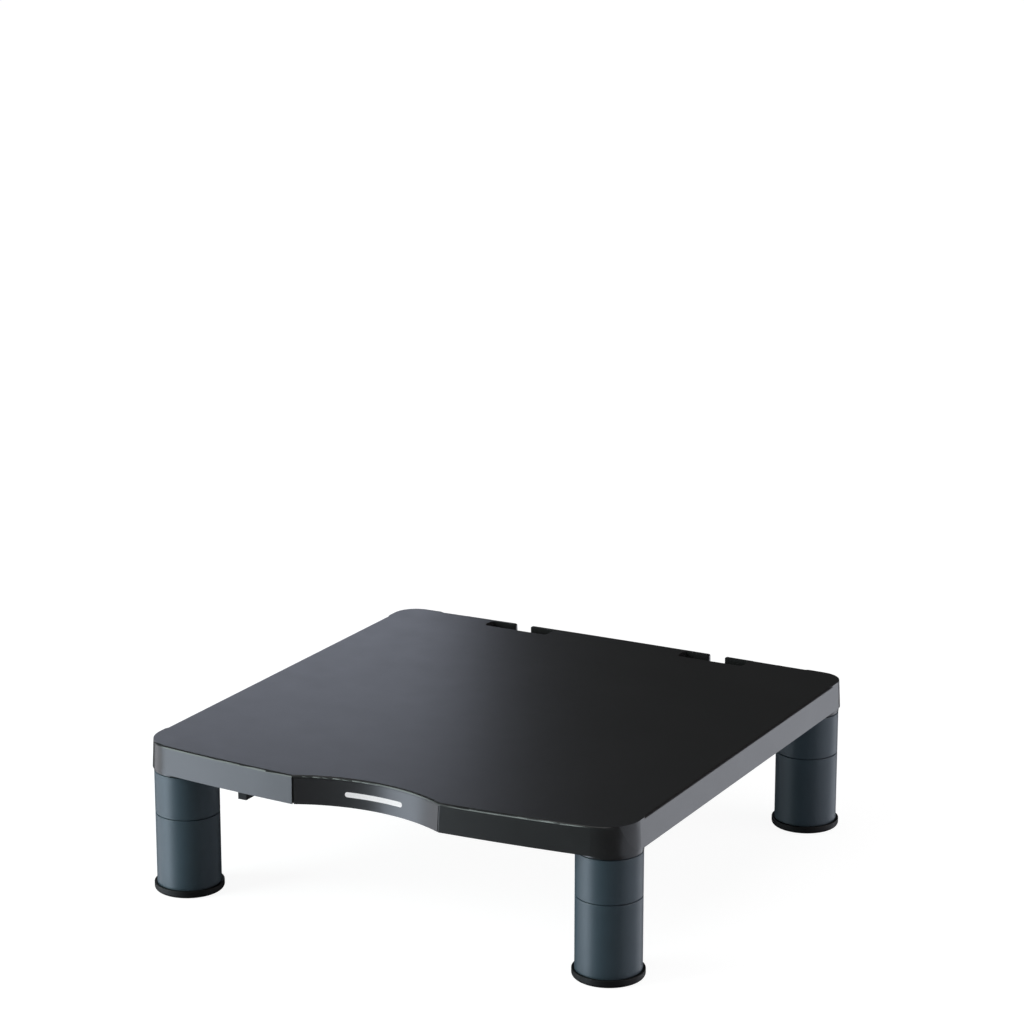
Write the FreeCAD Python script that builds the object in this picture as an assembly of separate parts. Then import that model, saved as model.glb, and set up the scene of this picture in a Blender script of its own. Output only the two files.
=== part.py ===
import FreeCAD, Part
import math
import os
from FreeCAD import Vector

# Monitor riser: a flat moulded deck on four legs, each leg a stack of two column sections and a foot
# cap. Millimetres, +Z up, +Y towards the back. The origin is on the desk, under the middle of the deck.

# ---- Driving dimensions -------------------------------------------------------------------------

# Deck
DECK_WIDTH = 340.0          # across X, at the foot of the skirt
DECK_DEPTH = 346.0          # from the corners of the recess to the middle of the back edge, at the foot
TOTAL_HEIGHT = 101.0        # desk to deck top, with both sections in each leg
SKIRT_HEIGHT = 18.1
SKIRT_DRAFT = 0.9           # the skirt leans out by this much from top to bottom
FRONT_RADIUS = 1250.0       # the front edge is one shallow bow
BACK_RADIUS = 5400.0        # the back edge bows even less
CORNER_FRONT = 24.5         # corner radii at the foot of the skirt
CORNER_BACK = 17.5
TOP_EDGE_RADIUS = 1.5
PLATE = 3.0                 # thickness of the deck's top
WALL = 2.6                  # thickness of the skirt
RIB = 1.8
RIB_PITCH = 28.0
RIB_COUNT = 5               # ribs on each side of the middle one, both ways
RIB_LIFT = 1.0              # the ribs stop this far above the foot of the skirt

# Front recess and its fascia, with the recess measured at the foot of the skirt
RECESS_HALF_WIDTH = 51.2
RECESS_DEPTH = 12.4
RECESS_DRAFT = 1.0
RECESS_CORNER_RADIUS = 0.5
FASCIA_THICKNESS = 2.0
FASCIA_END_LAND = 0.35      # skirt left between the fascia's end and the recess corner
FASCIA_GAP = 0.15           # between the panel's top edge and the deck
FASCIA_END_GAP = 0.7        # a thin dark line at each end of the panel
FASCIA_TOP_LAND = 1.7       # deck edge left above the fascia
PEG_RADIUS = 2.0
PEG_SPREAD = 30.0
PEG_PROUD = 1.5             # how far a peg shows behind the wall
PEG_CLEARANCE = 0.05
FASCIA_BACK_GAP = 0.05      # between the panel and the wall behind it

# Cable slots at the back
SLOT_CENTRE = 74.4
SLOT_LENGTH = 48.6
SLOT_WIDTH = 11.8
SLOT_LIP = 3.6              # back skirt left behind the slot
NOTCH_WIDTH = 11.6
SLOT_WALL = 2.2
BURY = 0.5                  # a wall under the deck reaches this far into its plate
LIP_END_RADIUS = 1.2

# Legs
LEG_X = 149.2
LEG_SPACING_Y = 292.2
LEG_SHIFT_Y = 4.9           # the legs sit this far behind the middle of the deck
COLUMN_RADIUS = 20.45
COLLAR_RADIUS = 20.75       # where the deck's leg socket meets the foot of the skirt
COLLAR_TIP_RADIUS = 20.6    # at the socket's lower rim
UPPER_HEIGHT = 28.2
LOWER_HEIGHT = 50.0
SPIGOT_RADIUS = 17.0
SPIGOT_HEIGHT = 14.0
SPIGOT_WALL = 2.4
SPIGOT_LEAD = 1.0
FIT_CLEARANCE = 0.3         # round the spigots
SEAT_GAP = 0.05             # between seated shoulders
SOCKET_DEPTH = 15.0
BORE_LEAD = 0.4             # chamfer at the mouth of each bore
SHOULDER = 3.0              # thickness of a section's shoulder ring
EDGE_ROUND = 0.6            # of each section's shoulder
SHADOW_HEIGHT = 0.5         # the dark line at each joint is a shallow step
SHADOW_DEPTH = 0.9

# Foot caps
FOOT_RADIUS = 22.25
FOOT_HEIGHT = 5.1
FOOT_FLOOR = 1.6
FOOT_BOTTOM_ROUND = 2.2
FOOT_LIP_ROUND = 0.5
FOOT_PLUG_HEIGHT = 12.0
TREAD_DEPTH = 0.5
TREAD_WIDTH = 1.6
TREAD_RADII = (8.0, 14.0)

# Cable hook
HOOK_X = -98.0
HOOK_FRONT_Y = -156.4
HOOK_BOTTOM_Z = 72.4
HOOK_WIDTH = 6.0
HOOK_THICKNESS = 3.0
HOOK_THROAT = 8.0
HOOK_EDGE_ROUND = 0.8
HOOK_TIP_HEIGHT = 6.0
HOOK_POCKET_WALL = 2.0
HOOK_POCKET_CLEARANCE = 0.1
HOOK_TOP_Z = 94.0

# Modelling aids
CUT_OVER = 1.0              # a cutter reaches this far past what it cuts
TOLERANCE = 0.01            # for picking out edges
TALL_EDGE = 0.75 * SKIRT_HEIGHT
CORNER_SEARCH = 1.5         # how far a leaning corner edge may be from its place at the foot

# ---- Worked out from those ----------------------------------------------------------------------

UP = Vector(0, 0, 1)
SKIRT_Z = TOTAL_HEIGHT - SKIRT_HEIGHT
PLATE_Z = TOTAL_HEIGHT - PLATE
SHOULDER_Z = FOOT_FLOOR + SEAT_GAP + LOWER_HEIGHT + SEAT_GAP + UPPER_HEIGHT
COLLAR_Z = SHOULDER_Z + SEAT_GAP
BORE_RADIUS = SPIGOT_RADIUS + FIT_CLEARANCE

FRONT_CORNER_Y = -DECK_DEPTH / 2
FRONT_ARC_Y = FRONT_CORNER_Y + math.sqrt(FRONT_RADIUS ** 2 - RECESS_HALF_WIDTH ** 2)
BACK_ARC_Y = DECK_DEPTH / 2 - BACK_RADIUS

RECESS_RADIUS = (RECESS_HALF_WIDTH ** 2 + RECESS_DEPTH ** 2) / (2 * RECESS_DEPTH)
RECESS_AXIS_Y = FRONT_CORNER_Y + RECESS_DEPTH - RECESS_RADIUS
FASCIA_TOP_Z = TOTAL_HEIGHT - FASCIA_TOP_LAND


def corner_centre(corner_radius, arc_y, arc_radius, side):
    """Centre of a corner arc that runs smoothly from a straight side into a bowed edge."""
    x = DECK_WIDTH / 2 - corner_radius
    y = arc_y + side * math.sqrt((arc_radius - corner_radius) ** 2 - x ** 2)
    return x, y


def towards(centre, through, distance):
    """The point at a distance from centre, on the line through another point."""
    dx = through[0] - centre[0]
    dy = through[1] - centre[1]
    length = math.hypot(dx, dy)
    return centre[0] + dx / length * distance, centre[1] + dy / length * distance


def outline_arcs(inset):
    """The deck's rounded edges as (centre, radius, end point, other end point), anticlockwise."""
    front = corner_centre(CORNER_FRONT, FRONT_ARC_Y, FRONT_RADIUS, -1)
    back = corner_centre(CORNER_BACK, BACK_ARC_Y, BACK_RADIUS, 1)
    side_x = DECK_WIDTH / 2 - inset
    front_end = towards((0, FRONT_ARC_Y), front, FRONT_RADIUS - inset)
    back_end = towards((0, BACK_ARC_Y), back, BACK_RADIUS - inset)
    front_side = (side_x, front[1])
    back_side = (side_x, back[1])

    def mirrored(xy):
        return -xy[0], xy[1]

    return [
        ((0, FRONT_ARC_Y), FRONT_RADIUS - inset, mirrored(front_end), front_end),
        (front, CORNER_FRONT - inset, front_end, front_side),
        (back, CORNER_BACK - inset, back_side, back_end),
        ((0, BACK_ARC_Y), BACK_RADIUS - inset, back_end, mirrored(back_end)),
        (mirrored(back), CORNER_BACK - inset, mirrored(back_end), mirrored(back_side)),
        (mirrored(front), CORNER_FRONT - inset, mirrored(front_side), mirrored(front_end)),
    ]


def arc_edge(arc, z):
    centre, radius, start, end = arc
    middle = towards(centre, ((start[0] + end[0]) / 2, (start[1] + end[1]) / 2), radius)
    return Part.Arc(Vector(*start, z), Vector(*middle, z), Vector(*end, z)).toShape()


def conical_wall(low_arc, high_arc, low_z, high_z):
    """The leaning face between two arcs that share a centre."""
    centre, radius, start, end = low_arc
    start_angle = math.degrees(math.atan2(start[1] - centre[1], start[0] - centre[0]))
    end_angle = math.degrees(math.atan2(end[1] - centre[1], end[0] - centre[0]))
    wedge = Part.makeCone(radius, high_arc[1], high_z - low_z, Vector(0, 0, 0), UP,
                          (end_angle - start_angle) % 360)
    wedge.rotate(Vector(0, 0, 0), UP, start_angle)
    wedge.translate(Vector(centre[0], centre[1], low_z))
    return next(face for face in wedge.Faces if isinstance(face.Surface, Part.Cone))


def flat_wall(low_points, high_points):
    corners = [low_points[0], low_points[1], high_points[1], high_points[0]]
    return Part.Face(Part.makePolygon(corners + corners[:1]))


def drafted_slab(inset, low_z, high_z):
    """A slab of the deck's plan, without the recess, with the skirt's lean between two heights."""
    def arcs_at(z):
        return outline_arcs(inset + SKIRT_DRAFT * (z - SKIRT_Z) / SKIRT_HEIGHT)
    low, high = arcs_at(low_z), arcs_at(high_z)
    faces = [conical_wall(a, b, low_z, high_z) for a, b in zip(low, high)]
    for before, after in ((1, 2), (4, 5)):
        faces.append(flat_wall([Vector(*low[before][3], low_z), Vector(*low[after][2], low_z)],
                               [Vector(*high[before][3], high_z), Vector(*high[after][2], high_z)]))
    for arcs, z in ((low, low_z), (high, high_z)):
        edges = [arc_edge(arc, z) for arc in arcs]
        for before, after in ((1, 2), (4, 5)):
            edges.append(Part.makeLine(Vector(*arcs[before][3], z), Vector(*arcs[after][2], z)))
        faces.append(Part.Face(Part.Wire(Part.__sortEdges__(edges))))
    shell = Part.Shell(faces)
    shell.sewShape()
    return Part.Solid(Part.Shell(shell.Faces))


def recess_cone(offset, low_z, high_z, half_angle=180.0):
    """The round bite of the recess, grown by an offset, as a full cone or as a slice of one."""
    def radius_at(z):
        return RECESS_RADIUS + offset + RECESS_DRAFT * (z - SKIRT_Z) / SKIRT_HEIGHT
    cone = Part.makeCone(radius_at(low_z), radius_at(high_z), high_z - low_z,
                         Vector(0, 0, 0), UP, 2 * half_angle)
    cone.rotate(Vector(0, 0, 0), UP, 90 - half_angle)
    cone.translate(Vector(0, RECESS_AXIS_Y, low_z))
    return cone


def recess_ring(inner, outer, low_z, high_z, half_angle):
    """A curved panel that follows the recess."""
    ring = recess_cone(outer, low_z, high_z, half_angle)
    return ring.cut(recess_cone(inner, low_z - CUT_OVER, high_z + CUT_OVER))


def fascia_half_angle(end_gap):
    half_width = RECESS_HALF_WIDTH - FASCIA_END_LAND - end_gap
    return math.degrees(math.asin(half_width / RECESS_RADIUS))


def fascia_pegs(radius, start, end):
    """Two round pegs that point back from the recess face, from one offset to another."""
    angle = math.asin(PEG_SPREAD / RECESS_RADIUS)
    z = SKIRT_Z + SKIRT_HEIGHT / 2
    base_radius = RECESS_RADIUS + RECESS_DRAFT / 2
    pegs = []
    for side in (-1, 1):
        outward = Vector(side * math.sin(angle), math.cos(angle), 0)
        foot = Vector(0, RECESS_AXIS_Y, z) + outward * (base_radius + start)
        pegs.append(Part.makeCylinder(radius, end - start, foot, outward))
    return pegs


def box_between(low, high):
    size = [b - a for a, b in zip(low, high)]
    return Part.makeBox(size[0], size[1], size[2], Vector(*low))


def leg_places():
    for row, y in (("front", LEG_SHIFT_Y - LEG_SPACING_Y / 2), ("back", LEG_SHIFT_Y + LEG_SPACING_Y / 2)):
        for side, x in (("left", -LEG_X), ("right", LEG_X)):
            yield row + "_" + side, x, y


# ---- Deck ---------------------------------------------------------------------------------------

def slot_edge_y(side):
    """Y of the back skirt's outer face at the slot, at the foot of the skirt."""
    return BACK_ARC_Y + math.sqrt(BACK_RADIUS ** 2 - (side * SLOT_CENTRE) ** 2)


def cable_slot(side, grow, low_z, high_z):
    """A slot along the back edge, with a notch that lets a cable in from behind."""
    back_y = slot_edge_y(side) - SKIRT_DRAFT
    slot_y = back_y - SLOT_LIP - SLOT_WIDTH
    x = side * SLOT_CENTRE
    slot = box_between((x - SLOT_LENGTH / 2 - grow, slot_y - grow, low_z),
                       (x + SLOT_LENGTH / 2 + grow, slot_y + SLOT_WIDTH + grow, high_z))
    notch = box_between((x - NOTCH_WIDTH / 2 - grow, slot_y + SLOT_WIDTH / 2, low_z),
                        (x + NOTCH_WIDTH / 2 + grow, back_y + SLOT_LIP + SKIRT_DRAFT, high_z))
    corners = [e for e in slot.Edges if upright(e)]
    slot = slot.makeFillet(SLOT_WIDTH / 4, corners)
    return slot.fuse(notch)


def upright(edge):
    first, last = edge.Vertexes[0].Point, edge.Vertexes[-1].Point
    return abs(first.x - last.x) < TOLERANCE and abs(first.y - last.y) < TOLERANCE


def rounded_lip_ends(deck):
    """Round the four free ends of the back skirt, where each notch cuts through it."""
    ends = []
    for edge in deck.Edges:
        ys = [v.Point.y for v in edge.Vertexes]
        xs = [v.Point.x for v in edge.Vertexes]
        tall = edge.BoundBox.ZLength > TALL_EDGE
        at_notch = all(abs(abs(abs(x) - SLOT_CENTRE) - NOTCH_WIDTH / 2) < TOLERANCE for x in xs)
        if tall and at_notch and min(ys) > slot_edge_y(1) - SKIRT_DRAFT - SLOT_LIP - TOLERANCE:
            ends.append(edge)
    return deck.makeFillet(LIP_END_RADIUS, ends)


def rib_grid(cavity):
    low_z = SKIRT_Z + RIB_LIFT
    reach = DECK_DEPTH
    ribs = []
    for i in range(-RIB_COUNT, RIB_COUNT + 1):
        at = i * RIB_PITCH
        ribs.append(box_between((at - RIB / 2, -reach, low_z), (at + RIB / 2, reach, PLATE_Z)))
        ribs.append(box_between((-reach, at - RIB / 2, low_z), (reach, at + RIB / 2, PLATE_Z)))
    grid = ribs[0].multiFuse(ribs[1:])
    return grid.common(cavity)


def leg_socket(x, y):
    """The boss that takes a leg: it shows below the skirt as a short tapered collar."""
    boss = Part.makeCylinder(COLLAR_RADIUS, TOTAL_HEIGHT - SKIRT_Z, Vector(x, y, SKIRT_Z))
    boss = boss.common(drafted_slab(0, SKIRT_Z, TOTAL_HEIGHT))
    collar_height = SKIRT_Z - COLLAR_Z - SHADOW_HEIGHT
    collar = Part.makeCone(COLLAR_TIP_RADIUS, COLLAR_RADIUS, collar_height,
                           Vector(x, y, COLLAR_Z + SHADOW_HEIGHT))
    ring = Part.makeCylinder(COLUMN_RADIUS - SHADOW_DEPTH, SHADOW_HEIGHT, Vector(x, y, COLLAR_Z))
    return [boss, collar, ring]


def at_recess_corner(edge):
    centre = edge.CenterOfMass
    return abs(abs(centre.x) - RECESS_HALF_WIDTH) < CORNER_SEARCH and edge.BoundBox.ZLength > TALL_EDGE


def make_deck():
    outer = drafted_slab(0, SKIRT_Z, TOTAL_HEIGHT)
    outer = outer.cut(recess_cone(0, SKIRT_Z - CUT_OVER, TOTAL_HEIGHT + CUT_OVER))
    outer = outer.makeFillet(RECESS_CORNER_RADIUS, [e for e in outer.Edges if at_recess_corner(e)])
    top_edges = [e for e in outer.Edges if e.BoundBox.ZMin > TOTAL_HEIGHT - TOLERANCE]
    outer = outer.makeFillet(TOP_EDGE_RADIUS, top_edges)

    cavity = drafted_slab(WALL, SKIRT_Z - CUT_OVER, PLATE_Z)
    cavity = cavity.cut(recess_cone(FASCIA_THICKNESS + WALL, SKIRT_Z - 2 * CUT_OVER, PLATE_Z + CUT_OVER))
    deck = outer.cut(cavity)

    additions = [rib_grid(cavity)]
    for name, x, y in leg_places():
        additions += leg_socket(x, y)
    for side in (-1, 1):
        surround = cable_slot(side, SLOT_WALL, SKIRT_Z, PLATE_Z + BURY)
        additions.append(surround.common(drafted_slab(WALL / 2, SKIRT_Z, TOTAL_HEIGHT)))
    additions.append(hook_pocket())
    deck = deck.multiFuse(additions).removeSplitter()

    for name, x, y in leg_places():
        deck = deck.cut(Part.makeCylinder(BORE_RADIUS, SOCKET_DEPTH, Vector(x, y, COLLAR_Z)))
    for side in (-1, 1):
        deck = deck.cut(cable_slot(side, 0, SKIRT_Z - CUT_OVER, TOTAL_HEIGHT + CUT_OVER))
    deck = deck.cut(recess_ring(-CUT_OVER, FASCIA_THICKNESS, SKIRT_Z - CUT_OVER, FASCIA_TOP_Z,
                                fascia_half_angle(0)))
    for hole in fascia_pegs(PEG_RADIUS + PEG_CLEARANCE, 0, FASCIA_THICKNESS + WALL + PEG_PROUD + CUT_OVER):
        deck = deck.cut(hole)
    deck = deck.cut(hook_stem(HOOK_POCKET_CLEARANCE))
    return rounded_lip_ends(deck.removeSplitter())


def make_fascia():
    """The curved panel that lines the recess, pegged through the wall behind it."""
    panel = recess_ring(0, FASCIA_THICKNESS - FASCIA_BACK_GAP, SKIRT_Z, FASCIA_TOP_Z - FASCIA_GAP,
                        fascia_half_angle(FASCIA_END_GAP))
    pegs = fascia_pegs(PEG_RADIUS, FASCIA_THICKNESS / 2, FASCIA_THICKNESS + WALL + PEG_PROUD)
    return panel.multiFuse(pegs).removeSplitter()


# ---- Cable hook ---------------------------------------------------------------------------------

def hook_stem(grow):
    """The upright of the hook, or with a grow, the hole that it is pushed into."""
    return box_between((HOOK_X - HOOK_WIDTH / 2 - grow, HOOK_FRONT_Y - grow, SKIRT_Z - CUT_OVER),
                       (HOOK_X + HOOK_WIDTH / 2 + grow, HOOK_FRONT_Y + HOOK_THICKNESS + grow,
                        HOOK_TOP_Z + grow))


def hook_pocket():
    reach = HOOK_POCKET_WALL + HOOK_POCKET_CLEARANCE
    return box_between((HOOK_X - HOOK_WIDTH / 2 - reach, HOOK_FRONT_Y - reach, SKIRT_Z),
                       (HOOK_X + HOOK_WIDTH / 2 + reach, HOOK_FRONT_Y + HOOK_THICKNESS + reach,
                        PLATE_Z + BURY))


def make_hook():
    """A flat J that hangs from the deck, open towards the back, for a loop of cable."""
    left = HOOK_X - HOOK_WIDTH / 2
    right = HOOK_X + HOOK_WIDTH / 2
    back = HOOK_FRONT_Y + 2 * HOOK_THICKNESS + HOOK_THROAT
    stem = box_between((left, HOOK_FRONT_Y, HOOK_BOTTOM_Z),
                       (right, HOOK_FRONT_Y + HOOK_THICKNESS, HOOK_TOP_Z))
    arm = box_between((left, HOOK_FRONT_Y, HOOK_BOTTOM_Z), (right, back, HOOK_BOTTOM_Z + HOOK_THICKNESS))
    tip = box_between((left, back - HOOK_THICKNESS, HOOK_BOTTOM_Z),
                      (right, back, HOOK_BOTTOM_Z + HOOK_TIP_HEIGHT))
    hook = stem.multiFuse([arm, tip]).removeSplitter()
    inner = [e for e in hook.Edges if along_x(e) and at_throat_floor(e)]
    hook = hook.makeFillet(HOOK_THICKNESS / 2, inner)
    rim = [e for e in hook.Edges if along_x(e) and e.CenterOfMass.y > back - HOOK_THICKNESS - TOLERANCE
           and not at_throat_floor(e)]
    return hook.makeFillet(HOOK_EDGE_ROUND, rim)


def along_x(edge):
    return abs(edge.BoundBox.XLength - HOOK_WIDTH) < TOLERANCE and edge.BoundBox.ZLength < TOLERANCE


def at_throat_floor(edge):
    centre = edge.CenterOfMass
    front = HOOK_FRONT_Y + HOOK_THICKNESS - TOLERANCE
    inside = front < centre.y < front + HOOK_THROAT + 2 * TOLERANCE
    return inside and abs(centre.z - HOOK_BOTTOM_Z - HOOK_THICKNESS) < TOLERANCE


# ---- Legs ---------------------------------------------------------------------------------------

def turned(points, x, y):
    """Turn a closed (radius, height) profile into a round solid that stands at x, y."""
    corners = [Vector(radius, 0, z) for radius, z in points]
    face = Part.Face(Part.makePolygon(corners + corners[:1]))
    solid = face.revolve(Vector(0, 0, 0), UP, 360)
    solid.translate(Vector(x, y, 0))
    return solid


def make_section(x, y, foot_z, height):
    """A hollow column section, with a spigot on top and a bore of the same fit at the bottom."""
    top_z = foot_z + height
    inner = SPIGOT_RADIUS - SPIGOT_WALL
    section = turned([
        (BORE_RADIUS + BORE_LEAD, foot_z),
        (COLUMN_RADIUS - SHADOW_DEPTH, foot_z),
        (COLUMN_RADIUS - SHADOW_DEPTH, foot_z + SHADOW_HEIGHT),
        (COLUMN_RADIUS, foot_z + SHADOW_HEIGHT),
        (COLUMN_RADIUS, top_z),
        (SPIGOT_RADIUS, top_z),
        (SPIGOT_RADIUS, top_z + SPIGOT_HEIGHT - SPIGOT_LEAD),
        (SPIGOT_RADIUS - SPIGOT_LEAD, top_z + SPIGOT_HEIGHT),
        (inner, top_z + SPIGOT_HEIGHT),
        (inner, top_z - SHOULDER),
        (BORE_RADIUS, top_z - SHOULDER - (BORE_RADIUS - inner)),
        (BORE_RADIUS, foot_z + BORE_LEAD),
    ], x, y)
    return section.makeFillet(EDGE_ROUND, [e for e in section.Edges if is_rim(e, COLUMN_RADIUS, top_z)])


def make_foot_cap(x, y):
    """A shallow cup under the leg, with a plug that goes up inside the section above."""
    cup_inner = COLUMN_RADIUS + FIT_CLEARANCE
    plug_top = FOOT_FLOOR + FOOT_PLUG_HEIGHT
    inner = SPIGOT_RADIUS - SPIGOT_WALL
    cap = turned([
        (0, 0),
        (FOOT_RADIUS, 0),
        (FOOT_RADIUS, FOOT_HEIGHT),
        (cup_inner, FOOT_HEIGHT),
        (cup_inner, FOOT_FLOOR),
        (SPIGOT_RADIUS, FOOT_FLOOR),
        (SPIGOT_RADIUS, plug_top - SPIGOT_LEAD),
        (SPIGOT_RADIUS - SPIGOT_LEAD, plug_top),
        (inner, plug_top),
        (inner, FOOT_FLOOR),
        (0, FOOT_FLOOR),
    ], x, y)
    for z, radius in ((0, FOOT_BOTTOM_ROUND), (FOOT_HEIGHT, FOOT_LIP_ROUND)):
        rim = [e for e in cap.Edges if is_rim(e, FOOT_RADIUS, z)]
        cap = cap.makeFillet(radius, rim)
    for radius in TREAD_RADII:
        outer = Part.makeCylinder(radius + TREAD_WIDTH / 2, TREAD_DEPTH, Vector(x, y, 0))
        groove = outer.cut(Part.makeCylinder(radius - TREAD_WIDTH / 2, TREAD_DEPTH, Vector(x, y, 0)))
        cap = cap.cut(groove)
    return cap


def is_rim(edge, radius, z):
    curve = edge.Curve
    if not isinstance(curve, Part.Circle):
        return False
    return abs(curve.Radius - radius) < TOLERANCE and abs(curve.Center.z - z) < TOLERANCE


# ---- Write the pieces ---------------------------------------------------------------------------

def all_pieces():
    pieces = {"deck": make_deck(), "front_fascia": make_fascia(), "cable_hook": make_hook()}
    lower_z = FOOT_FLOOR + SEAT_GAP
    upper_z = lower_z + LOWER_HEIGHT + SEAT_GAP
    for name, x, y in leg_places():
        pieces["upper_section_" + name] = make_section(x, y, upper_z, UPPER_HEIGHT)
        pieces["lower_section_" + name] = make_section(x, y, lower_z, LOWER_HEIGHT)
        pieces["foot_cap_" + name] = make_foot_cap(x, y)
    return pieces


def write_pieces():
    os.makedirs("parts", exist_ok=True)
    for name, shape in all_pieces().items():
        box = shape.BoundBox
        print("%-28s solids %d valid %s volume %9.0f  x %.1f..%.1f  y %.1f..%.1f  z %.2f..%.2f" % (
            name, len(shape.Solids), shape.isValid(), shape.Volume,
            box.XMin, box.XMax, box.YMin, box.YMax, box.ZMin, box.ZMax))
        shape.exportStep("parts/%s.step" % name)


write_pieces()
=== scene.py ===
import math

import bmesh
import bpy
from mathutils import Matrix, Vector


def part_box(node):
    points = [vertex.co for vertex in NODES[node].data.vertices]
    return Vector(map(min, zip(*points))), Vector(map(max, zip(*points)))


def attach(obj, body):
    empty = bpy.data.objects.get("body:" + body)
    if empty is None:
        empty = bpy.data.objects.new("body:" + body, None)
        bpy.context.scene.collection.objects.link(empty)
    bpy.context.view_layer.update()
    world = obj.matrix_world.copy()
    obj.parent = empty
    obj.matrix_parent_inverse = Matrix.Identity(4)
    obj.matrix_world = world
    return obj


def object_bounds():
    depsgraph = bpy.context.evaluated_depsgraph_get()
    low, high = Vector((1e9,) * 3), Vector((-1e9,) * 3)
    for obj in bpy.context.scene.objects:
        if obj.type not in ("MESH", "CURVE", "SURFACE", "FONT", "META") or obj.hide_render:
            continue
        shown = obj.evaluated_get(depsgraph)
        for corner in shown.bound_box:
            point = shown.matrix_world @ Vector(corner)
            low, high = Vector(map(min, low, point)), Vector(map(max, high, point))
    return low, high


bl_info = {
    "name": "Monitor Riser",
    "version": (1, 0, 0),
    "blender": (4, 5, 0),
    "location": "3D View > Sidebar > Riser",
    "description": "Finishes a moulded monitor riser: deck, fascia, cable hook, leg columns and foot caps",
    "category": "Object",
}

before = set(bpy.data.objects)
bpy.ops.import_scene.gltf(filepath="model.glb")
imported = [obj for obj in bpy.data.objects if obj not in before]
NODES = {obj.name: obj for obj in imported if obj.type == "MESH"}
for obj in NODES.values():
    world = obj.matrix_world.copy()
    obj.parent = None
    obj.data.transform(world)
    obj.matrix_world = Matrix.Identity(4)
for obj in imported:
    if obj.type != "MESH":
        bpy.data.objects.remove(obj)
CAD_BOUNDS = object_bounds()

LEGS = ("front_left", "front_right", "back_left", "back_right")
MM = 0.001

SENSOR_WIDTH = 36.0     # millimetres, as Blender wants it
STAGE_SEGMENTS = 64     # round the edge of each stage disc

# Heights of the stage's flat layers, all just under the soles
FLOOR_Z = -0.2 * MM
SHADE_Z = -0.5 * MM
BOUNCE_Z = -1.0 * MM

# The spread of a noise's values, from most of them to nearly all
MIDTONES = (0.35, 0.65)
ALL_TONES = (0.3, 0.7)

# Softboxes round the riser: name, azimuth and spread in degrees, foot and top in metres, and light.
# Those under the floor's level stand for what a pale floor throws back at the plastic.
PIT, GROUND, HEAD = -1.1, 0.0, 0.75
SOFTBOXES = (
    ("key_left", -46, 34, GROUND, 2 * HEAD, (5.7, 6.6, 6.4)),
    ("key_left_low", -45.5, 28, PIT, GROUND, (4.2, 4.7, 5.4)),
    ("side_left_low", -82, 38, PIT, GROUND, (1.5, 1.5, 1.6)),
    ("back_left", -140, 20, GROUND, HEAD, (0.90, 0.97, 1.16)),
    ("side_right", 102, 50, GROUND, HEAD, (2.3, 2.15, 2.2)),
    ("side_right_low", 86, 32, PIT, GROUND, (0.60, 0.66, 0.76)),
    ("fill_right_low", 118, 32, PIT, GROUND, (0.7, 0.75, 0.85)),
    ("back_right_low", 149, 30, PIT, GROUND, (1.65, 1.72, 1.88)),
    ("front_right", 45, 40, GROUND, HEAD, (0.18, 0.20, 0.22)),
)


# ---- Sizes and colours that a user would change --------------------------------------------------

def colour_property(name, description, default):
    return bpy.props.FloatVectorProperty(
        name=name, description=description, default=default, size=3,
        min=0.0, max=1.0, subtype="COLOR")


def share_property(name, description, default):
    return bpy.props.FloatProperty(
        name=name, description=description, default=default,
        min=0.0, max=1.0, subtype="FACTOR")


def length_property(name, description, default):
    return bpy.props.FloatProperty(
        name=name, description=description, default=default,
        min=0.0, precision=5, unit="LENGTH")


class DeckLook(bpy.types.PropertyGroup):
    """Finish of the deck moulding."""
    colour: colour_property("Deck colour", "Near-black plastic of the deck", (0.0200, 0.0195, 0.0200))
    roughness: share_property("Roughness", "Fine satin finish", 0.29)
    grain: length_property("Grain", "Width of one grain of the moulded texture", 0.45 * MM)
    grain_depth: length_property("Grain depth", "Height of the moulded texture", 0.014 * MM)


class FasciaLook(bpy.types.PropertyGroup):
    """Finish of the curved panel in the front recess."""
    colour: colour_property("Fascia colour", "Dark graphite plastic", (0.0250, 0.0235, 0.0255))
    roughness: share_property("Roughness", "Same satin as the deck", 0.29)
    print_colour: colour_property("Print colour", "Pale grey ink of the plain bar", (0.79, 0.71, 0.71))
    bar_length: length_property("Bar length", "Length of the printed bar along the panel", 40.0 * MM)
    bar_height: length_property("Bar height", "Height of the printed bar", 3.2 * MM)
    bar_thickness: length_property("Bar thickness", "Thickness of the ink", 0.05 * MM)


class ColumnLook(bpy.types.PropertyGroup):
    """Finish of the leg sections."""
    colour: colour_property("Column colour", "Slate blue-grey plastic", (0.0325, 0.0520, 0.0675))
    roughness: share_property("Roughness", "Satin finish of the columns", 0.45)
    grain: length_property("Grain", "Width of one grain of the satin texture", 0.30 * MM)
    grain_depth: length_property("Grain depth", "Height of the satin texture", 0.008 * MM)


class FootLook(bpy.types.PropertyGroup):
    """Finish of the rubber foot caps."""
    colour: colour_property("Rubber colour", "Black rubber", (0.0040, 0.0042, 0.0046))
    roughness: share_property("Roughness", "Dull rubber", 0.60)


class HookLook(bpy.types.PropertyGroup):
    """Finish of the cable hook."""
    colour: colour_property("Hook colour", "Black plastic", (0.0045, 0.0045, 0.0050))
    roughness: share_property("Roughness", "Dull black", 0.60)


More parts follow.
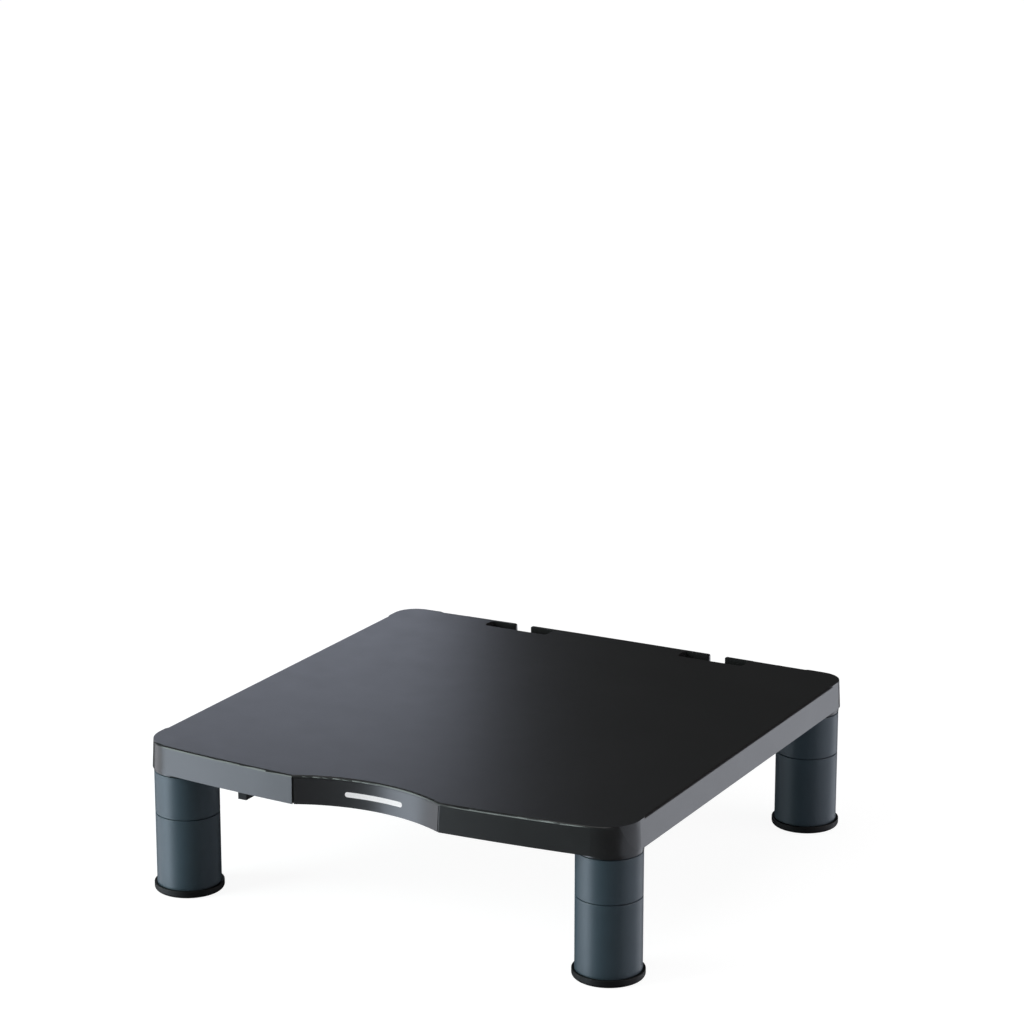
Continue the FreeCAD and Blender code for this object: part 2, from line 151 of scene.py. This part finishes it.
class StageLook(bpy.types.PropertyGroup):
    """Floor, backdrop, lamps and camera."""
    floor_colour: colour_property("Floor colour", "Pale studio floor", (0.25, 0.25, 0.25))
    floor_glow: bpy.props.FloatProperty(
        name="Floor glow", description="Light that the floor gives by itself near the riser",
        default=0.93, min=0.0)
    glow_start: length_property("Glow start", "Where the floor begins to fade into the backdrop", 0.43333)
    glow_reach: length_property("Glow reach", "Where the floor has faded into the white backdrop", 1.3)
    bounce_colour: colour_property("Bounce colour", "Card that lights the underside", (0.93, 0.93, 0.93))
    studio_radius: length_property("Studio radius", "Radius of the floor and of the dome over it", 6.0)
    lamp_distance: length_property("Lamp distance", "From the middle of the riser to each softbox", 1.6)
    ceiling_width: length_property("Ceiling width", "Side of the square softbox overhead", 1.28)
    ceiling_light: bpy.props.FloatProperty(
        name="Ceiling light", description="Strength of the softbox overhead", default=1.1, min=0.0)
    ambient: share_property("Ambient", "Even light from all round", 0.035)
    # How dark the painted shadow sheet under the riser is.
    shade_strength: share_property("Shade strength", "How dark the floor is under the riser", 0.82)
    azimuth: bpy.props.FloatProperty(
        name="Azimuth", description="Camera's turn to the right of the front",
        default=math.radians(28.374), subtype="ANGLE")
    elevation: bpy.props.FloatProperty(
        name="Elevation", description="Camera's height angle over the aim point",
        default=math.radians(15.11), subtype="ANGLE")
    distance: length_property("Distance", "Camera to aim point", 2.14379)
    aim: bpy.props.FloatVectorProperty(
        name="Aim point", description="Where the camera looks, above the deck",
        default=(-0.01661, 0.04495, 0.21975), size=3, subtype="TRANSLATION")
    focal_length: bpy.props.FloatProperty(
        name="Focal length", description="Focal length in millimetres on a 36 mm sensor",
        default=116.117, min=1.0)


# ---- Materials ----------------------------------------------------------------------------------

class Recipe:
    """A material under construction: short calls that add and link shader nodes."""

    # A Mix node has sockets of the same name for each data type, so its colour ones go by number.
    MIX_FACTOR, MIX_FIRST, MIX_SECOND, MIX_RESULT = 0, 6, 7, 2

    def __init__(self, name):
        self.material = bpy.data.materials.new(name)
        self.material.use_nodes = True
        self.tree = self.material.node_tree
        self.tree.nodes.clear()
        self.shader = self.tree.nodes.new("ShaderNodeBsdfPrincipled")
        output = self.tree.nodes.new("ShaderNodeOutputMaterial")
        self.link(self.shader.outputs["BSDF"], output.inputs["Surface"])
        self.place = self.tree.nodes.new("ShaderNodeTexCoord").outputs["Object"]

    def link(self, source, target):
        self.tree.links.new(source, target)

    def set(self, sockets):
        for name, value in sockets.items():
            self.shader.inputs[name].default_value = value

    def noise(self, width, detail=2.0, roughness=0.5):
        """Noise whose features are about one width across, in metres."""
        node = self.tree.nodes.new("ShaderNodeTexNoise")
        node.inputs["Scale"].default_value = 1.0 / width
        node.inputs["Detail"].default_value = detail
        node.inputs["Roughness"].default_value = roughness
        self.link(self.place, node.inputs["Vector"])
        return node.outputs["Fac"]

    def distance_out(self):
        """Distance from the object's own origin, in metres."""
        node = self.tree.nodes.new("ShaderNodeVectorMath")
        node.operation = "LENGTH"
        self.link(self.place, node.inputs[0])
        return node.outputs["Value"]

    def product(self, first, second):
        node = self.tree.nodes.new("ShaderNodeMath")
        node.operation = "MULTIPLY"
        self.link(first, node.inputs[0])
        self.link(second, node.inputs[1])
        return node.outputs["Value"]

    def edge_fade(self, axis, full, none):
        """1 near the object's own middle along one axis, falling to 0 between two distances."""
        split = self.tree.nodes.new("ShaderNodeSeparateXYZ")
        self.link(self.place, split.inputs["Vector"])
        size = self.tree.nodes.new("ShaderNodeMath")
        size.operation = "ABSOLUTE"
        self.link(split.outputs[axis], size.inputs[0])
        return self.ranged(size.outputs["Value"], full, none, 1.0, 0.0)

    def ranged(self, source, low, high, to_low, to_high):
        """Carry values between low and high over to another range, and clamp the rest."""
        node = self.tree.nodes.new("ShaderNodeMapRange")
        limits = {"From Min": low, "From Max": high, "To Min": to_low, "To Max": to_high}
        for socket, value in limits.items():
            node.inputs[socket].default_value = value
        self.link(source, node.inputs["Value"])
        return node.outputs["Result"]

    def mixed(self, factor, first, second):
        """Colour that runs from first to second."""
        node = self.tree.nodes.new("ShaderNodeMix")
        node.data_type = "RGBA"
        for socket, colour in ((self.MIX_FIRST, first), (self.MIX_SECOND, second)):
            node.inputs[socket].default_value = (*colour, 1.0)
        self.link(factor, node.inputs[self.MIX_FACTOR])
        return node.outputs[self.MIX_RESULT]

    def bumped(self, height, depth, strength=1.0, under=None):
        """Surface normal with a relief of this depth, on top of another relief if one is given."""
        node = self.tree.nodes.new("ShaderNodeBump")
        node.inputs["Distance"].default_value = depth
        node.inputs["Strength"].default_value = strength
        self.link(height, node.inputs["Height"])
        if under is not None:
            self.link(under, node.inputs["Normal"])
        return node.outputs["Normal"]


def tinted(colour, factor):
    return tuple(min(1.0, channel * factor) for channel in colour)


def moulded_plastic(name, colour, roughness, grain, grain_depth,
                    variation=0.05, patch=60 * MM, specular=0.5):
    """Plastic with a fine eroded grain, a softly uneven gloss and a faint clouding of the colour."""
    wave_depth, wave_strength = 0.015 * MM, 0.2
    glossier, duller = roughness - 0.012, roughness + 0.018
    recipe = Recipe(name)
    recipe.set({"IOR": 1.5, "Specular IOR Level": specular})
    clouds = recipe.ranged(recipe.noise(patch, detail=3.0), *MIDTONES, 0.0, 1.0)
    recipe.link(recipe.mixed(clouds, tinted(colour, 1 - variation), tinted(colour, 1 + variation)),
                recipe.shader.inputs["Base Color"])
    gloss = recipe.noise(patch / 3, detail=4.0, roughness=0.6)
    recipe.link(recipe.ranged(gloss, *ALL_TONES, glossier, duller), recipe.shader.inputs["Roughness"])
    waves = recipe.bumped(recipe.noise(patch, detail=1.0), wave_depth, wave_strength)
    eroded = recipe.bumped(recipe.noise(grain, roughness=0.6), grain_depth, under=waves)
    recipe.link(eroded, recipe.shader.inputs["Normal"])
    return recipe.material


def foot_rubber(name, colour, roughness):
    """Dull rubber with a bloom of dust and a slightly dimpled skin."""
    dust_patch, dust_tones, dust_cover, dust_tint = 9 * MM, (0.45, 0.75), 0.35, 2.2
    worn_patch, rubbed, rough = 5 * MM, roughness - 0.05, roughness + 0.08
    dimple, dimple_depth, dimple_strength = 0.6 * MM, 0.02 * MM, 0.8
    recipe = Recipe(name)
    recipe.set({"IOR": 1.5, "Specular IOR Level": 0.3})
    dust = recipe.ranged(recipe.noise(dust_patch, detail=4.0, roughness=0.65), *dust_tones, 0.0, dust_cover)
    recipe.link(recipe.mixed(dust, colour, tinted(colour, dust_tint)), recipe.shader.inputs["Base Color"])
    wear = recipe.noise(worn_patch, detail=3.0)
    recipe.link(recipe.ranged(wear, *ALL_TONES, rubbed, rough), recipe.shader.inputs["Roughness"])
    recipe.link(recipe.bumped(recipe.noise(dimple), dimple_depth, dimple_strength),
                recipe.shader.inputs["Normal"])
    return recipe.material


def print_ink(name, colour):
    """Pad-printed ink: matt, with a faintly uneven cover."""
    blotch, thin, thick = 0.8 * MM, tinted(colour, 0.92), tinted(colour, 1.03)
    smooth, rough = 0.5, 0.62
    speck, speck_depth, speck_strength = 0.5 * MM, 0.01 * MM, 0.5
    recipe = Recipe(name)
    recipe.set({"IOR": 1.45})
    cover = recipe.ranged(recipe.noise(blotch, detail=3.0), *ALL_TONES, 0.0, 1.0)
    recipe.link(recipe.mixed(cover, thin, thick), recipe.shader.inputs["Base Color"])
    recipe.link(recipe.ranged(cover, 0.0, 1.0, smooth, rough), recipe.shader.inputs["Roughness"])
    recipe.link(recipe.bumped(recipe.noise(speck), speck_depth, speck_strength),
                recipe.shader.inputs["Normal"])
    return recipe.material


def pale_sheet(name, colour):
    """A matt sheet of faintly uneven colour, which can be made to glow white."""
    blotch, roughness, darker = 0.4, 0.9, 0.98
    recipe = Recipe(name)
    recipe.set({"Roughness": roughness, "Specular IOR Level": 0.0, "Emission Color": (1, 1, 1, 1)})
    recipe.link(recipe.mixed(recipe.noise(blotch), tinted(colour, darker), colour),
                recipe.shader.inputs["Base Color"])
    return recipe


def dress(node_name, material):
    """Give a CAD node one material on every face."""
    node = NODES[node_name]
    node.data.materials.clear()
    node.data.materials.append(material)


# ---- Operators ----------------------------------------------------------------------------------

class RISER_OT_deck(bpy.types.Operator):
    """Finish the deck moulding"""
    bl_idname = "riser.deck"
    bl_label = "Deck"

    def execute(self, context):
        look = context.scene.riser_deck
        dress("deck", moulded_plastic("deck_textured_black", look.colour, look.roughness,
                                      look.grain, look.grain_depth))
        return {"FINISHED"}


def bar_stations(straight, end_radius, steps=24, end_steps=9):
    """Places along the bar from left to right, each with the bar's half height there."""
    stations = [(straight * (2 * i / steps - 1), end_radius) for i in range(steps + 1)]
    right = []
    for i in range(1, end_steps):
        turn = math.pi / 2 * i / end_steps
        right.append((straight + end_radius * math.sin(turn), end_radius * math.cos(turn)))
    left = [(-x, half) for x, half in reversed(right)]
    return left + stations + right


def on_fascia(x, z):
    """The point and normal of the panel's front face at a given x and z."""
    panel = NODES["front_fascia"]
    ahead = Vector((x, CAD_BOUNDS[0][1], z))
    hit, point, normal, _ = panel.ray_cast(ahead, Vector((0, 1, 0)))
    if not hit:
        raise RuntimeError("the printed bar runs off the fascia")
    return point, normal


class RISER_OT_fascia(bpy.types.Operator):
    """Finish the fascia in the front recess and print its plain bar"""
    bl_idname = "riser.fascia"
    bl_label = "Fascia"

    def execute(self, context):
        look = context.scene.riser_fascia
        dress("front_fascia", moulded_plastic("fascia_graphite", look.colour, look.roughness,
                                              grain=0.35 * MM, grain_depth=0.004 * MM, variation=0.04))
        bar = self.print_bar(look)
        bar.data.materials.append(print_ink("print_pale_grey", look.print_colour))
        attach(bar, "deck")
        return {"FINISHED"}

    def print_bar(self, look):
        """A thin layer of ink with round ends that follows the curve of the panel."""
        low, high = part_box("front_fascia")
        middle = (low[2] + high[2]) / 2
        end_radius = look.bar_height / 2
        straight = look.bar_length / 2 - end_radius
        build = bmesh.new()
        sections = []
        for x, half in bar_stations(straight, end_radius):
            ring = []
            for height, lift in ((-half, -1), (-half, 1), (half, 1), (half, -1)):
                point, normal = on_fascia(x, middle + height)
                ring.append(build.verts.new(point + normal * look.bar_thickness * lift))
            sections.append(ring)
        for ring, following in zip(sections, sections[1:]):
            for a in range(4):
                b = (a + 1) % 4
                build.faces.new((ring[a], ring[b], following[b], following[a]))
        build.faces.new(sections[0])
        build.faces.new(sections[-1])
        bmesh.ops.recalc_face_normals(build, faces=build.faces)
        mesh = bpy.data.meshes.new("plain_print_bar")
        build.to_mesh(mesh)
        build.free()
        bar = bpy.data.objects.new("plain_print_bar", mesh)
        bpy.context.scene.collection.objects.link(bar)
        return bar


class RISER_OT_hook(bpy.types.Operator):
    """Finish the cable hook under the deck"""
    bl_idname = "riser.hook"
    bl_label = "Cable hook"

    def execute(self, context):
        look = context.scene.riser_hook
        dress("cable_hook", moulded_plastic("hook_black", look.colour, look.roughness,
                                            grain=0.4 * MM, grain_depth=0.008 * MM,
                                            patch=8 * MM, specular=0.25))
        return {"FINISHED"}


class RISER_OT_columns(bpy.types.Operator):
    """Finish the upper and lower sections of the four legs"""
    bl_idname = "riser.columns"
    bl_label = "Leg columns"

    def execute(self, context):
        look = context.scene.riser_columns
        slate = moulded_plastic("column_slate", look.colour, look.roughness,
                                look.grain, look.grain_depth, variation=0.04, patch=25 * MM)
        for leg in LEGS:
            dress("upper_section_" + leg, slate)
            dress("lower_section_" + leg, slate)
        return {"FINISHED"}


class RISER_OT_foot_caps(bpy.types.Operator):
    """Finish the rubber caps under the legs"""
    bl_idname = "riser.foot_caps"
    bl_label = "Foot caps"

    def execute(self, context):
        look = context.scene.riser_feet
        rubber = foot_rubber("foot_rubber_black", look.colour, look.roughness)
        for leg in LEGS:
            dress("foot_cap_" + leg, rubber)
        return {"FINISHED"}


def direction(azimuth, elevation):
    """Unit vector that points away from the object, from the front and to the right."""
    flat = math.cos(elevation)
    return Vector((math.sin(azimuth) * flat, -math.cos(azimuth) * flat, math.sin(elevation)))


def hang_softbox(name, width, height, light, place, away):
    """An evenly bright panel that faces against away, and that the camera can't see."""
    brightness = max(light)
    lamp = bpy.data.lights.new(name, "AREA")
    lamp.shape = "RECTANGLE"
    lamp.size, lamp.size_y = width, height
    lamp.energy = math.pi * width * height * brightness
    lamp.color = [channel / brightness for channel in light]
    panel = bpy.data.objects.new(name, lamp)
    bpy.context.scene.collection.objects.link(panel)
    panel.location = place
    panel.rotation_euler = away.to_track_quat("Z", "Y").to_euler()
    panel.visible_camera = False


def standing_softbox(name, azimuth, spread, foot, top, distance, light):
    """A tall panel that stands on a circle round the riser and spans an angle of it."""
    away = direction(math.radians(azimuth), 0)
    width = 2 * distance * math.tan(math.radians(spread) / 2)
    middle = Vector((0, 0, (foot + top) / 2))
    hang_softbox(name, width, top - foot, light, away * distance + middle, away)


def stage_piece(name, build, recipe, camera=False, diffuse=False, glossy=False, shadow=False):
    """Turn a bmesh into a stage object, which isn't part of the riser, and say what it shows to."""
    mesh = bpy.data.meshes.new(name)
    build.to_mesh(mesh)
    build.free()
    mesh.materials.append(recipe.material)
    piece = bpy.data.objects.new(name, mesh)
    bpy.context.scene.collection.objects.link(piece)
    piece.visible_camera = camera
    piece.visible_diffuse = diffuse
    piece.visible_glossy = glossy
    piece.visible_shadow = shadow
    piece.visible_transmission = False


def disc(radius, height):
    build = bmesh.new()
    bmesh.ops.create_circle(build, cap_ends=True, segments=STAGE_SEGMENTS, radius=radius)
    bmesh.ops.translate(build, verts=build.verts, vec=(0, 0, height))
    return build


class RISER_OT_stage(bpy.types.Operator):
    """Lay the floor, hang the lamps and place the camera"""
    bl_idname = "riser.stage"
    bl_label = "Stage"

    def execute(self, context):
        look = context.scene.riser_stage
        self.lay_floor(look)
        self.lay_bounce_card(look)
        self.shade_floor(look)
        self.raise_dome(look)
        self.hang_lamps(look)
        self.place_camera(look)
        context.scene.view_settings.view_transform = "Standard"
        return {"FINISHED"}

    def lay_floor(self, look):
        """The pale floor, which glows a little and fades into the white backdrop."""
        recipe = pale_sheet("studio_floor", look.floor_colour)
        glow = recipe.ranged(recipe.distance_out(), look.glow_start, look.glow_reach, look.floor_glow, 1.0)
        recipe.link(glow, recipe.shader.inputs["Emission Strength"])
        stage_piece("studio_floor", disc(look.studio_radius, FLOOR_Z), recipe, camera=True)

    def lay_bounce_card(self, look):
        """A white card just below the floor, which throws light back up."""
        recipe = pale_sheet("bounce_card", look.bounce_colour)
        stage_piece("bounce_card", disc(look.studio_radius, BOUNCE_Z), recipe, diffuse=True)

    def shade_floor(self, look):
        """Painted shadow: a black sheet under the floor that stands for the floor's shade under the riser,
        as the plastic sees it in its reflections; it also blocks the lamps below the floor.
        """
        half = CAD_BOUNDS[1][0]
        full, none, radius = 0.8 * half, 1.1 * half, 1.6 * half
        recipe = Recipe("floor_shade")
        recipe.set({"Base Color": (0, 0, 0, 1), "Roughness": 1.0, "Specular IOR Level": 0.0})
        # Painted shade: black, most opaque over the riser's footprint and fading out past its edges.
        cover = recipe.product(recipe.edge_fade("X", full, none), recipe.edge_fade("Y", full, none))
        recipe.link(recipe.ranged(cover, 0.0, 1.0, 0.0, look.shade_strength), recipe.shader.inputs["Alpha"])
        stage_piece("floor_shade", disc(radius, SHADE_Z), recipe, glossy=True, shadow=True)

    def raise_dome(self, look):
        """The white backdrop: half a sphere over the floor."""
        recipe = Recipe("studio_dome")
        recipe.set({"Base Color": (0, 0, 0, 1), "Specular IOR Level": 0.0,
                    "Emission Color": (1, 1, 1, 1), "Emission Strength": 1.0})
        build = bmesh.new()
        bmesh.ops.create_uvsphere(build, u_segments=STAGE_SEGMENTS, v_segments=STAGE_SEGMENTS // 2,
                                  radius=look.studio_radius)
        below = [vert for vert in build.verts if vert.co.z < -MM]
        bmesh.ops.delete(build, geom=below, context="VERTS")
        stage_piece("studio_dome", build, recipe, camera=True)

    def hang_lamps(self, look):
        for name, azimuth, spread, foot, top, light in SOFTBOXES:
            standing_softbox(name, azimuth, spread, foot, top, look.lamp_distance, light)
        up = Vector((0, 0, 1))
        hang_softbox("ceiling", look.ceiling_width, look.ceiling_width, (look.ceiling_light,) * 3,
                     up * look.lamp_distance, up)
        world = bpy.data.worlds.new("studio")
        bpy.context.scene.world = world
        world.use_nodes = True
        background = world.node_tree.nodes["Background"]
        background.inputs["Color"].default_value = (1, 1, 1, 1)
        background.inputs["Strength"].default_value = look.ambient

    def place_camera(self, look):
        camera = bpy.data.cameras.new("camera")
        camera.lens = look.focal_length
        camera.sensor_width = SENSOR_WIDTH
        holder = bpy.data.objects.new("camera", camera)
        bpy.context.scene.collection.objects.link(holder)
        away = direction(look.azimuth, look.elevation)
        holder.location = Vector(look.aim) + away * look.distance
        holder.rotation_euler = away.to_track_quat("Z", "Y").to_euler()
        bpy.context.scene.camera = holder


# ---- Panel and registration ---------------------------------------------------------------------

PIECE_OPERATORS = (RISER_OT_deck, RISER_OT_fascia, RISER_OT_hook, RISER_OT_columns, RISER_OT_foot_caps)
LOOKS = {
    "riser_deck": DeckLook,
    "riser_fascia": FasciaLook,
    "riser_hook": HookLook,
    "riser_columns": ColumnLook,
    "riser_feet": FootLook,
    "riser_stage": StageLook,
}


class RISER_PT_sidebar(bpy.types.Panel):
    """The riser's pieces and their finishes"""
    bl_idname = "RISER_PT_sidebar"
    bl_label = "Monitor riser"
    bl_space_type = "VIEW_3D"
    bl_region_type = "UI"
    bl_category = "Riser"

    def draw(self, context):
        for operator in PIECE_OPERATORS + (RISER_OT_stage,):
            self.layout.operator(operator.bl_idname)
        for name, look in LOOKS.items():
            box = self.layout.box()
            box.label(text=look.__doc__)
            for key in look.__annotations__:
                box.prop(getattr(context.scene, name), key)


CLASSES = tuple(LOOKS.values()) + PIECE_OPERATORS + (RISER_OT_stage, RISER_PT_sidebar)


def register():
    for cls in CLASSES:
        bpy.utils.register_class(cls)
    for name, look in LOOKS.items():
        setattr(bpy.types.Scene, name, bpy.props.PointerProperty(type=look))


def unregister():
    for name in LOOKS:
        delattr(bpy.types.Scene, name)
    for cls in reversed(CLASSES):
        bpy.utils.unregister_class(cls)


def main():
    register()
    bpy.ops.riser.stage()
    bpy.ops.riser.deck()
    bpy.ops.riser.fascia()
    bpy.ops.riser.hook()
    bpy.ops.riser.columns()
    bpy.ops.riser.foot_caps()


if __name__ == "__main__":
    main()
